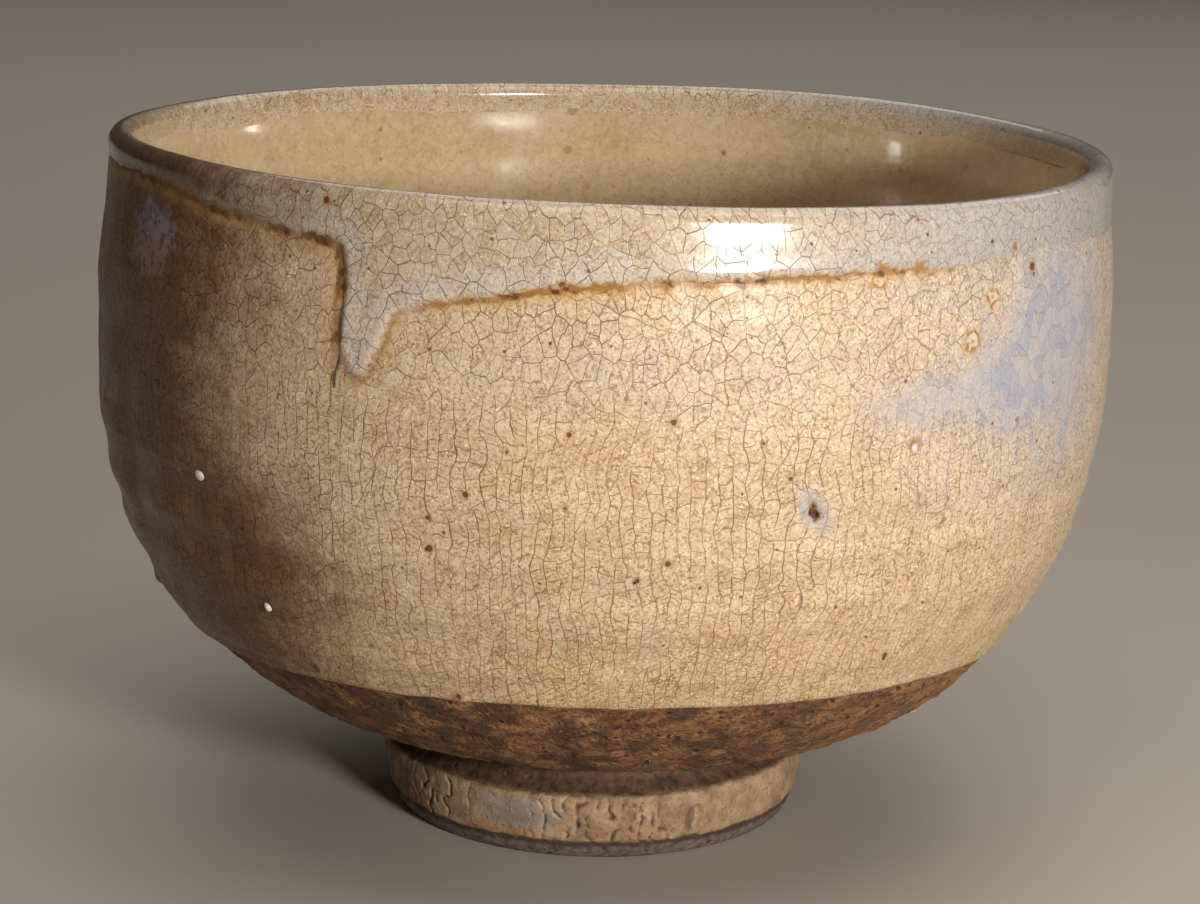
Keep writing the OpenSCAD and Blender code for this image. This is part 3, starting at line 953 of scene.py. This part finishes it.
def rim_glaze():
    """The second coat: thicker and paler, frosted grey at the right, with the widest cells at its edge."""
    shader = Shader("rim_glaze")
    edge = shader.value("edge")
    inward = shader.value("inward")
    colour = shader.ramp(shader.noise(6, 3), (0.35, (0.47, 0.36, 0.245)), (0.65, (0.56, 0.445, 0.32)))
    # Painted shade: the coat darkened towards the left side.
    shade = shader.facing(18, -70)
    colour = colour.toward((0.31, 0.22, 0.145), shade * 0.85)
    frost = shader.facing(8, 46)
    thick = edge.step(5.0, 1.5) * edge.step(0.1, 0.9) * frost.step(1.0, 0.2)
    thick = thick * shader.noise(3.5, 2).step(0.3, 0.55, 0.35, 1.0) * shader.facing(-34, -62).step(1.0, 0.0)
    colour = colour.toward((0.545, 0.505, 0.49), thick * 0.9)
    colour = colour.toward((0.56, 0.415, 0.26), inward)
    frost = frost * inward.step(0.0, 1.0, 1.0, 0.15)
    colour = colour.toward((0.43, 0.425, 0.43), frost * 0.85)
    colour = sugared(shader, colour)
    colour = colour.toward((0.4, 0.395, 0.425), frost * 0.5)
    small, tone = crack_net(shader, 1.4, 0.062, 0.8)
    wide, wide_tone = crack_net(shader, 2.2, 0.075, 0.85)
    near_edge = (edge + shader.noise(4, 1) * 2).step(4.2, 3.6) * shader.facing(26, 32).step(1.0, 0.0)
    cell_tone = shader.between(near_edge, tone, wide_tone)
    cell_tone = cell_tone * frost.step(0.0, 1.0, 1.0, 0.3)
    colour = colour.toward((0.76, 0.68, 0.6), cell_tone.step(0.0, 1.0, 0.0, 0.25))
    cracks = shader.between(near_edge, small, wide)
    cracks = cracks * inward.step(0.9, 0.2, 0.04, 1.0) * frost.step(0.0, 1.0, 1.0, 0.7)
    colour = colour.toward((0.16, 0.1, 0.065), cracks * 0.85)
    colour = iron_edge(shader, fire_side_and_shade(shader, stains(shader, colour)))
    height = cracks * -0.8 + shader.noise(1.4, 2) * 0.7
    rough = shader.noise(5, 2).step(0.3, 0.7, 0.16, 0.3) + cracks * 0.25
    return shader.set(base_color=colour, roughness=rough, normal=shader.bump(height, 0.045, 0.5),
        coat_weight=0.7, coat_roughness=0.07, ior=1.5)


def inside_glaze():
    """The coat inside: smoother and glossier, with soft specks and faint crackle."""
    shader = Shader("inside_glaze")
    cloud = shader.noise(15, 4, roughness=0.6)
    colour = shader.ramp(cloud, (0.34, (0.5, 0.36, 0.21)), (0.5, (0.57, 0.42, 0.255)),
        (0.66, (0.62, 0.47, 0.3)))
    depth = shader.value("depth").step(15.0, 60.0)
    colour = colour.toward((0.46, 0.34, 0.17), depth * 0.45)
    stain = shader.noise(3.5, 5, shader.shifted(shader.mm, (9, 0, 4)), roughness=0.7).step(0.52, 0.68)
    colour = colour.toward((0.38, 0.26, 0.15), stain * 0.35)
    light = shader.noise(1.2, 4, roughness=0.7).step(0.42, 0.68, 0.0, 0.38)
    colour = colour.toward((0.72, 0.6, 0.44), light)
    dark = shader.noise(0.5, 3).step(0.54, 0.7, 0.0, 0.42)
    colour = colour.toward((0.34, 0.22, 0.11), dark)
    moved = shader.warped((5, 0.9), (1.5, 0.2))
    edges = shader.walls(1.9, moved)
    cracks = edges.step(0.09, 0.03) * shader.noise(12, 2).step(0.35, 0.65, 0.03, 0.17)
    colour = colour.toward(CRACK, cracks)
    colour = peppered(shader, colour, 6.5, 0.4, 0.85, (0.26, 0.15, 0.07), 0.55)
    colour = peppered(shader, colour, 4.0, 0.35, 0.45, (0.17, 0.1, 0.05), 0.65)
    colour = peppered(shader, colour, 1.9, 0.3, 0.16, (0.22, 0.14, 0.07), 0.6)
    rough = shader.noise(8, 2).step(0.3, 0.7, 0.08, 0.17)
    height = shader.noise(3.0, 2) + cracks * -0.3
    return shader.set(base_color=colour, roughness=rough, normal=shader.bump(height, 0.02, 0.3),
        coat_weight=1.0, coat_roughness=0.035, ior=1.5)


def gritty(shader, colour, spacing, pale_tint, dark_tint):
    """Pale and dark stone grit in a clay body. Gives the colour and both masks."""
    away, chance, _ = shader.scatter(spacing)
    pale = shader.math("GREATER_THAN", chance, 0.78) * away.step(0.30, 0.16)
    dark = shader.math("LESS_THAN", chance, 0.25) * away.step(0.34, 0.12)
    return colour.toward(pale_tint, pale * 0.6).toward(dark_tint, dark * 0.85), pale, dark


def bare_clay():
    """Rough iron-bearing clay: orange-brown with dark burnt streaks and pale grit, lighter on the right with
    painted light.
    """
    shader = Shader("bare_clay")
    streaks = shader.noise(1.0, 4, shader.scaled(shader.mm, (0.5, 0.5, 1.0)), roughness=0.7)
    colour = shader.ramp(streaks, (0.3, (0.07, 0.028, 0.012)), (0.44, (0.2, 0.085, 0.032)),
        (0.56, (0.28, 0.135, 0.055)), (0.7, (0.38, 0.205, 0.095)))
    cloud = shader.noise(5, 4, roughness=0.7).step(0.44, 0.58)
    colour = colour.toward((0.07, 0.032, 0.017), cloud * 0.8)
    # Painted light: the right side, which faces the key lamp, made lighter.
    painted_light_right = shader.facing(15, 70) * 0.4
    colour = colour.toward((0.44, 0.24, 0.1), painted_light_right)
    colour, pale, dark = gritty(shader, colour, 1.15, (0.28, 0.17, 0.09), (0.022, 0.011, 0.007))
    fine = shader.noise(0.45, 3).step(0.5, 0.66, 0.0, 0.75)
    colour = colour.toward((0.05, 0.025, 0.014), fine)
    height = streaks * 1.2 + shader.noise(0.45, 3) * 1.0 + pale * 0.5 + dark * -0.9
    rough = shader.noise(1.5, 2).step(0.3, 0.7, 0.55, 0.85)
    return shader.set(base_color=colour, roughness=rough, normal=shader.bump(height, 0.3, 0.9), ior=1.45)


def darkened_chamfer(shader, colour):
    """The dark grey chamfer at the foot of the wall, darker still along its top edge."""
    ragged = shader.height + (shader.noise(1.2, 3) - 0.5) * 1.2
    low = shader.height.step(2.7, 2.0) * shader.height.step(-0.1, 0.2)
    chamfer_grey = shader.ramp(shader.noise(0.8, 4, roughness=0.65), (0.36, (0.075, 0.052, 0.045)),
        (0.62, (0.21, 0.165, 0.15)))
    colour = colour.toward(chamfer_grey, low * 0.9)
    crease = ragged.step(1.5, 2.1) * ragged.step(2.9, 2.4)
    return colour.toward((0.045, 0.026, 0.02), crease * 0.85)


def foot_clay():
    """The foot's clay: paler, dark grey on the chamfer, darkened by painted shade in the groove under the
    hip, and worn smooth where it stands.
    """
    shader = Shader("foot_clay")
    colour = shader.ramp(shader.noise(2.2, 4, roughness=0.65), (0.34, (0.13, 0.075, 0.042)),
        (0.5, (0.24, 0.145, 0.08)), (0.66, (0.36, 0.24, 0.14)))
    # Painted shade: the neck under the hip darkened where the groove lies in shade.
    neck = shader.height.step(8.2, 9.0) * 0.95
    painted_neck_shade = shader.ramp(shader.noise(1.3, 4, roughness=0.65), (0.36, (0.028, 0.013, 0.008)),
        (0.64, (0.12, 0.058, 0.028)))
    colour = darkened_chamfer(shader, colour.toward(painted_neck_shade, neck))
    colour, pale, dark = gritty(shader, colour, 1.3, (0.13, 0.09, 0.06), (0.04, 0.024, 0.015))
    height = shader.noise(0.6, 4) + dark * -0.8 + pale * 0.3
    return shader.set(base_color=colour, roughness=0.72, normal=shader.bump(height, 0.2, 0.8), ior=1.45)


def foot_wash():
    """A thin wash on the foot, wrinkled like crepe, with a grey-blue cloud and a rusty edge."""
    shader = Shader("foot_wash")
    colour = shader.ramp(shader.noise(3.0, 4, roughness=0.65), (0.34, (0.24, 0.145, 0.08)),
        (0.5, (0.38, 0.245, 0.14)), (0.66, (0.48, 0.335, 0.205)))
    ragged = (shader.noise(2.0, 3) - 0.5) * 1.3
    cloud = (shader.value("cloud") + ragged).step(0.3, 0.75)
    colour = colour.toward((0.29, 0.27, 0.25), cloud * 0.6)
    # Painted shade: the wash darkened in patches on its left side.
    left = shader.facing(-25, -60) * 0.6
    colour = colour.toward((0.1, 0.055, 0.03), left * shader.noise(1.8, 3).step(0.38, 0.58))
    colour = colour.toward((0.12, 0.07, 0.045), shader.value("dent") * 0.75)
    rust_height = shader.height + (shader.noise(3.5, 2) - 0.5) * 3.0
    rust = rust_height.step(3.8, 2.8) * rust_height.step(1.2, 2.3)
    colour = colour.toward((0.42, 0.18, 0.05), rust * shader.value("cloud").step(0.0, 0.5) * 0.75)
    torn = shader.value("crepe")
    colour = colour.toward((0.075, 0.04, 0.022), torn.step(0.2, 0.8, 0.0, 0.9))
    colour = colour.toward((0.12, 0.07, 0.04), shader.noise(0.4, 3).step(0.55, 0.7, 0.0, 0.6))
    # Painted shade: the groove at the top of the wash darkened.
    groove = (shader.height + shader.noise(1.6, 3)).step(8.7, 9.4, 0.0, 0.92)
    colour = colour.toward((0.055, 0.027, 0.015), groove)
    colour = darkened_chamfer(shader, colour)
    height = shader.noise(0.5, 3) + torn * -1.2
    rough = shader.value("cloud").step(0.1, 0.7, 0.62, 0.42)
    return shader.set(base_color=colour, roughness=rough, normal=shader.bump(height, 0.16, 0.8), ior=1.48)


def stone(name, light, dark, roughness):
    """A small stone grain, glassy where the fire melted it."""
    shader = Shader(name)
    colour = shader.ramp(shader.noise(0.5, 3), (0.35, dark), (0.65, light))
    rough = shader.noise(0.4, 2).step(0.3, 0.7, roughness, roughness + 0.2)
    return shader.set(base_color=colour, roughness=rough,
        normal=shader.bump(shader.noise(0.3, 2), 0.05, 0.6), coat_weight=0.4, coat_roughness=0.1)


# ---------------------------------------------------------------- pieces

def thrown_clay(material):
    """Wall, floor and underside in one closed solid: fine where bare clay shows, coarse under glaze."""
    angle = angles()
    s_line = float(length_at(LINE_Z + 3))
    stops = [0.6, S_RING - 0.5, S_HIP, s_line, S_LIP, S_INSIDE, S_END - 1]
    rows = spaced(stops, [44, 16, 64, 14, 6, 16])
    bare = smoothstep(S_RING, S_HIP + 2, rows) * (1 - smoothstep(s_line - 2, s_line, rows))
    sunk = -0.04 * smoothstep(s_line - 1, s_line + 1, rows)

    def rough(a, z, points):
        return bare * band_relief(a, z, points)

    points = surface(angle, rows, sunk, rough)
    build = Build(charts=3)
    numbers = build.add_grid(points, {})
    shown = rows[:, 0] < s_line
    up = np.cumsum(np.where(shown, 1.0, 0.05))
    build.skin(numbers, MAP_SHOWN + (1 - MAP_SHOWN) * (up - up[0]) / (up[-1] - up[0]))
    build.cap(numbers[0], [0, 0, points[0, :, 2].mean()], {}, flip=True)
    build.cap(numbers[-1], [0, 0, points[-1, :, 2].mean()], {})
    return build.piece("thrown_clay", "clay_body", "bare_clay", material)


def outer_coat(material):
    """The first coat outside, from the wavy line above the bare clay up to the lip."""
    angle = angles()
    line = glaze_line(angle[0])[None, :]
    s = even(line, S_CREST + 0.4, 168)
    r, z, _, _ = CLAY.at(s)
    above = s - line
    thickness = COAT * (0.35 + 0.65 * smoothstep(0, 0.5, above)) + 0.16 * hump(above, 0.9, 0.8)
    thickness = thickness * smoothstep(-0.05, 0.35, above) - 0.03 * (above < 0.01)
    points = surface(angle, s, thickness, glaze_relief)
    where = round_axis(angle, r, z)
    edge = np.clip(above_rim_edge(angle, z), -EDGE_REACH, EDGE_REACH)
    values = {"along": s, "line": above, "edge": edge, "rust": rust_share(angle) + 0 * z}
    values.update(wall_zones(angle, z, where))
    hidden = surface(angle, even(S_CREST, line + 1.2, 10), -0.1)
    build = Build(charts=3)
    closed_coat(build, points, hidden, values)
    return build.piece("outer_crackle_coat", "outer_glaze", "crackle_glaze", material)


def rust_share(angle):
    """How strong the rust line is round the rim: strong left of the run, fading out to the right."""
    a = turned(angle, 0)
    left = smoothstep(-100, -62, a) * (1 - smoothstep(-27.6, -26.4, a))
    run = 0.55 * smoothstep(-27.6, -26.4, a) * (1 - smoothstep(-21, -19, a))
    right = smoothstep(-21, -15, a) * (1 - smoothstep(20, 50, a))
    back = 0.4 * smoothstep(100, 130, a)
    return np.clip(left + run + right + back, 0, 1)


def rim_coat(material):
    """The second coat: over the lip, down to its wavy edge and the run."""
    columns = 960
    angle = angles(columns)
    start, end = float(length_at(RUN_Z - 1.5)), S_INSIDE + 3.2
    s = np.linspace(start, end, 112)[:, None] + 0 * angle
    r, z, _, _ = CLAY.at(s)
    outside_z = np.where(s < S_CREST, z, RIM_Z + (s - S_CREST))
    edge = above_rim_edge(angle, outside_z)
    inner_edge = end - 0.8 - s + 0.25 * np.sin(3 * angle) + 0.12 * np.sin(11 * angle)
    inside = np.minimum(edge, inner_edge)
    outside = s < S_CREST
    right = smoothstep(28, 52, turned(angle, 0)) * smoothstep(160, 120, turned(angle, 0))
    left = smoothstep(-38, -58, turned(angle, 0)) * smoothstep(-165, -130, turned(angle, 0))
    bead = 0.08 * hump(edge, 0.85, 0.6) * (1 - right) * (1 - left) * outside
    run_share = zone(angle, outside_z, (-24.8, 69), 2.2, 3.5)
    reach = np.where(outside, 1.2 + 4 * right + 2 * left, 3.0)
    body = RIM_COAT * (1 - 0.25 * run_share - 0.3 * right) * smoothstep(-0.05, reach, inside) + bead
    top_offset = COAT + np.where(inside > 0, body, 0.35 * inside)
    points = surface(angle, s, top_offset, lambda a, zz, p: 0.8 * glaze_relief(a, zz, p))
    bottom = surface(angle, s, np.minimum(COAT - 0.25, top_offset - 0.05))
    keep = inside > -0.35
    keep = keep[:-1] | keep[1:]
    where = round_axis(angle, r, z)
    zones = wall_zones(angle, z, where)
    rust = rust_share(angle) * (s < S_CREST)
    values = {"along": s, "edge": np.clip(edge, -EDGE_REACH, EDGE_REACH), "rust": rust,
              "brown": zones["brown"] * (s < S_CREST), "inward": smoothstep(S_CREST, S_INSIDE + 1.5, s)}
    build = Build(charts=6)
    cut_coat(build, points, bottom, keep, values)
    return build.piece("rim_coat", "overlap_glaze", "rim_glaze", material)


def inner_coat(material):
    """The coat inside, from the lip down over the basin and the tea pool."""
    angle = angles()
    s = spaced([S_CREST - 0.4, S_INSIDE + 4, S_END - 0.6], [20, 150])
    thickness = COAT + 0.12 * smoothstep(S_POOL - 3, S_POOL + 1, s)
    calm = smoothstep(S_END - 1, S_END - 5, s)
    points = surface(angle, s, thickness, lambda a, z, p: 0.05 * glaze_noise(p, 6) * calm)
    hidden = surface(angle, spaced([S_CREST - 0.2, S_INSIDE, S_END - 0.6], [1, 16])[::-1], -0.12)
    build = Build(charts=3)
    depth = s - S_INSIDE + 0 * angle
    top = build.add_grid(points, {"depth": depth})
    under = build.add_grid(hidden, {"depth": 0.0})
    build.skin(top, np.linspace(MAP_SHOWN, 1, len(top)))
    build.cap(top[-1], points[-1].mean(axis=0), {"depth": 80.0})
    build.skin(under, np.linspace(MAP_HIDDEN, MAP_HIDDEN / 2, len(under)))
    build.cap(under[0], hidden[0].mean(axis=0), {"depth": 0.0}, flip=True)
    build.skin(np.vstack([under[-1:], top[:1]]), [MAP_HIDDEN / 2, 0])
    return build.piece("inner_coat", "inner_glaze", "inside_glaze", material)


FOOT_PROFILE = through([
    [BORE_R - 0.2, 9.9], [BORE_R - 0.1, 8.2], [BORE_R + 0.1, 4], [BORE_R + 0.5, 0.7], [BORE_R + 1.1, 0.05],
    [BORE_R + 2.5, 0], [FOOT_R - 2.7, 0], [FOOT_R - 1.8, 0.1], [FOOT_R - 1.15, 0.8], [FOOT_R - 0.6, 2.0],
    [FOOT_R - 0.35, 3.0], [FOOT_R, 5.2], [FOOT_R + 0.25, 7.2], [FOOT_R, 8.6], [FOOT_R - 1.0, 9.5],
    [FOOT_R - 1.7, 10.5], [FOOT_R - 1.75, 12.0], [FOOT_R - 1.5, 13.1], [FOOT_R - 2.6, 13.3],
], 6)
FOOT = Path(FOOT_PROFILE)


def foot_length(z):
    """Length along the foot's profile at a height on its outside."""
    wall = (FOOT.points[:, 0] > FOOT_R - 2.2) & (FOOT.points[:, 1] > 0.05)
    return np.interp(z, FOOT.points[wall, 1], FOOT.length[wall])


def foot_front(z):
    """1 on the foot's upright wall, 0 on its chamfer and in its groove."""
    return smoothstep(1.8, 3.2, z) * (1 - smoothstep(7.5, 9, z))


def crepe(points, shown):
    """Upright tears in the foot's skin, from 0 to 1, as dry clay wrinkles under the knife."""
    angle = np.arctan2(points[..., 0], -points[..., 1])
    bend = 0.7 * clay_noise(points, (3.0, 3.0, 1.8)) + 0.45 * clay_noise(points, 1.0)
    line = np.abs(np.sin(math.pi * (angle * FOOT_R / 1.45 + bend)))
    broken = smoothstep(-0.45, -0.05, clay_noise(points, (1.3, 1.3, 1.7)))
    front = hump(angle, 0.12, 0.26) + 0.5 * hump(angle, -1.0, 0.3)
    spread = smoothstep(-0.05, 0.6, 0.8 * clay_noise(points, 6) + 1.1 * front)
    return np.clip(1 - 2.0 * line, 0, 1) * broken * spread * shown


def foot_surface(angle, s, offset):
    """Points on the foot ring with its wrinkles, dent and slightly lopsided wall."""
    r, z, nr, nz = FOOT.at(s)
    points = round_axis(angle, r, z)
    shown = foot_front(z) * (nr > 0.5)
    d = offset + 0.10 * clay_noise(points, 5) * smoothstep(0.3, 1.5, z)
    d = d + 0.07 * clay_noise(points, (2.4, 2.4, 1.1), 2) * smoothstep(0.2, 1.4, z)
    d = d - 0.36 * crepe(points, shown)
    across, up = off_place(angle, z, (28.5, 5), FOOT_R)
    d = d - 0.7 * smoothstep(1.25, 0.85, np.hypot(across / 0.75, up / 1.6)) * (nr > 0.5)
    flat = smoothstep(0.3, 1.5, z)
    rr = (r + d * nr) * (1 + 0.006 * flat * np.cos(angle * 2 + 0.5))
    zz = np.maximum(z + d * nz, 0)
    return round_axis(angle, rr, zz)


def turned_foot(material):
    """The foot ring, one closed solid."""
    angle = angles(480)
    s = np.linspace(0, FOOT.length[-1], 110)[:, None]
    points = foot_surface(angle, s, 0.0)
    build = Build(charts=2)
    numbers = build.add_grid(points, {})
    build.skin(np.vstack([numbers, numbers[:1]]), np.linspace(MAP_SHOWN, 1, len(numbers) + 1))
    return build.piece("turned_foot", "foot_ring", "foot_clay", material)


def wash_coat(material):
    """The thin wash on the foot's outside, torn open where the skin is wrinkled deepest."""
    angle = angles(720)
    s = np.linspace(float(foot_length(1.0)), float(foot_length(10.6)), 52)[:, None] + 0 * angle
    r, z, _, _ = FOOT.at(s)
    where = round_axis(angle, r, z)
    ring = where * [1, 1, 0]
    low_edge = z - 2.3 - 0.35 * edge_noise(ring, 3.0, 2)
    high_edge = 8.9 + 0.4 * edge_noise(ring, 5.0, 2) - z
    inside = np.minimum(low_edge, high_edge)
    top_offset = np.where(inside > 0, WASH * smoothstep(0, 0.5, inside), 0.3 * inside)
    points = foot_surface(angle, s, top_offset)
    bottom = foot_surface(angle, s, np.minimum(-0.1, top_offset - 0.04))
    keep = inside > -0.3
    keep = keep[:-1] | keep[1:]
    cloud = hump(turned(angle, -20), 0, 16) * hump(z, 5.8, 2.6) + 0.4 * hump(turned(angle, 120), 0, 30)
    across, up = off_place(angle, z, (27, 5), FOOT_R)
    dent = smoothstep(1.25, 0.9, np.hypot(across / 0.8, up / 1.6))
    values = {"cloud": np.clip(cloud, 0, 1) + 0 * z, "crepe": crepe(where, foot_front(z)), "dent": dent}
    build = Build(charts=2)
    cut_coat(build, points, bottom, keep, values)
    return build.piece("foot_wash_coat", "foot_wash", "foot_wash", material)


def grains(name, node, places, material, seed):
    """A group of small rounded stones, each knocked out of round, set into the wall."""
    mesh = bpy.data.meshes.new(name)
    random = np.random.default_rng(seed)
    points, faces, count = [], [], 0
    rings, sides = 9, 16
    for degrees, z, size, head in places:
        a = np.radians(degrees)
        here, s = np.array([a]), np.array([length_at(z)])
        glazed = COAT if s[0] > glaze_line(here)[0] else 0.0
        centre = surface(here, s, glazed)[0]
        outward = np.array([math.sin(a), -math.cos(a), 0.0])
        side = np.array([math.cos(a), math.sin(a), 0.0])
        up = np.array([0.0, 0.0, 1.0])
        lat = np.linspace(-math.pi / 2, math.pi / 2, rings)[:, None]
        lon = np.linspace(0, 2 * math.pi, sides, endpoint=False)[None, :]
        knock = 1 + 0.16 * np.sin(2 * lon + random.uniform(0, 6))
        knock = knock + 0.10 * np.sin(3 * lon + random.uniform(0, 6)) * np.cos(lat)
        stretch = random.uniform(0.8, 1.25)
        ball = (size * (np.sin(lat) + 0 * lon)[..., None] * outward
                + size * stretch * (np.cos(lat) * np.cos(lon) * knock)[..., None] * side
                + size / stretch * (np.cos(lat) * np.sin(lon) * knock)[..., None] * up)
        ball = ball + centre + outward * (head - size)
        points.append(ball.reshape(-1, 3))
        for i in range(rings - 1):
            for j in range(sides):
                k = (j + 1) % sides
                faces.append([count + i * sides + j, count + i * sides + k,
                              count + (i + 1) * sides + k, count + (i + 1) * sides + j])
        count += rings * sides
    mesh.from_pydata((np.vstack(points) / 1000).tolist(), [], faces)
    mesh.polygons.foreach_set("use_smooth", [True] * len(faces))
    mesh.update()
    weld(mesh)
    return finished(name, mesh, node, material)


def weld(mesh):
    """Joins the points that meet at each grain's poles."""
    cut = bmesh.new()
    cut.from_mesh(mesh)
    bmesh.ops.remove_doubles(cut, verts=cut.verts, dist=1e-6)
    bmesh.ops.recalc_face_normals(cut, faces=cut.faces)
    cut.to_mesh(mesh)
    cut.free()


# ---------------------------------------------------------------- stage

def floor():
    """A plain pale floor."""
    reach = 4.0
    mesh = bpy.data.meshes.new("floor")
    corners = [(-reach, -reach, 0), (reach, -reach, 0), (reach, reach, 0), (-reach, reach, 0)]
    mesh.from_pydata(corners, [], [(0, 1, 2, 3)])
    plane = bpy.data.objects.new("floor", mesh)
    bpy.context.scene.collection.objects.link(plane)
    shader = Shader("pale_floor")
    mesh.materials.append(shader.set(base_color=(0.49, 0.455, 0.41), roughness=0.6))


def area_light(name, azimuth, elevation, distance, size, power, colour, spread=180):
    """A rectangular soft light aimed at the bowl. Azimuth is to the right of the camera's side."""
    a, e = math.radians(azimuth), math.radians(elevation)
    light = bpy.data.lights.new(name, "AREA")
    light.shape = "RECTANGLE"
    light.size, light.size_y = size
    light.energy = power
    light.spread = math.radians(spread)
    light.color = colour
    lamp = bpy.data.objects.new(name, light)
    bpy.context.scene.collection.objects.link(lamp)
    target = Vector((0, 0, 0.06))
    outward = Vector((math.sin(a) * math.cos(e), -math.cos(a) * math.cos(e), math.sin(e)))
    lamp.location = target + distance * outward
    lamp.rotation_euler = (target - lamp.location).to_track_quat("-Z", "Y").to_euler()


def studio():
    """A small warm key from the right of the front, wide lights above and behind, and a dim warm room."""
    area_light("key", 27, 10, 0.45, (0.085, 0.036), 0.525, (1.0, 0.94, 0.85), 100)
    area_light("top", 20, 76, 1.2, (1.2, 1.0), 6.1, (1.0, 0.91, 0.80))
    area_light("back", 165, 50, 1.6, (1.6, 1.2), 6.5, (1.0, 0.95, 0.88))
    bpy.context.scene.view_settings.view_transform = "Standard"
    world = bpy.data.worlds.new("room")
    world.use_nodes = True
    background = world.node_tree.nodes["Background"].inputs
    background["Color"].default_value = (0.85, 0.76, 0.66, 1.0)
    background["Strength"].default_value = 0.045
    bpy.context.scene.world = world


def camera():
    """Just above the rim's height, close to the bowl, turned by a degree and a half."""
    lens = bpy.data.cameras.new("camera")
    lens.sensor_width = 36
    lens.lens = 86.85
    lens.clip_start = 0.01
    eye = bpy.data.objects.new("camera", lens)
    bpy.context.scene.collection.objects.link(eye)
    eye.location = (0.0, -0.3533, 0.1288)
    down, roll = math.radians(13.42), math.radians(1.36)
    aim = Euler((math.pi / 2 - down, 0, 0)).to_matrix() @ Euler((0, 0, roll)).to_matrix()
    eye.rotation_euler = aim.to_euler()
    bpy.context.scene.camera = eye


# ---------------------------------------------------------------- the bowl

thrown_clay(bare_clay())
turned_foot(foot_clay())
outer_coat(crackle_glaze())
inner_coat(inside_glaze())
rim_coat(rim_glaze())
wash_coat(foot_wash())
grains("feldspar_heads", "feldspar_grains", WHITE_GRAINS,
       stone("feldspar", (0.80, 0.76, 0.68), (0.55, 0.48, 0.38), 0.22), 5)
grains("iron_spots", "iron_grains", DARK_GRAINS,
       stone("iron", (0.13, 0.06, 0.03), (0.035, 0.016, 0.01), 0.25), 6)
floor()
studio()
camera()
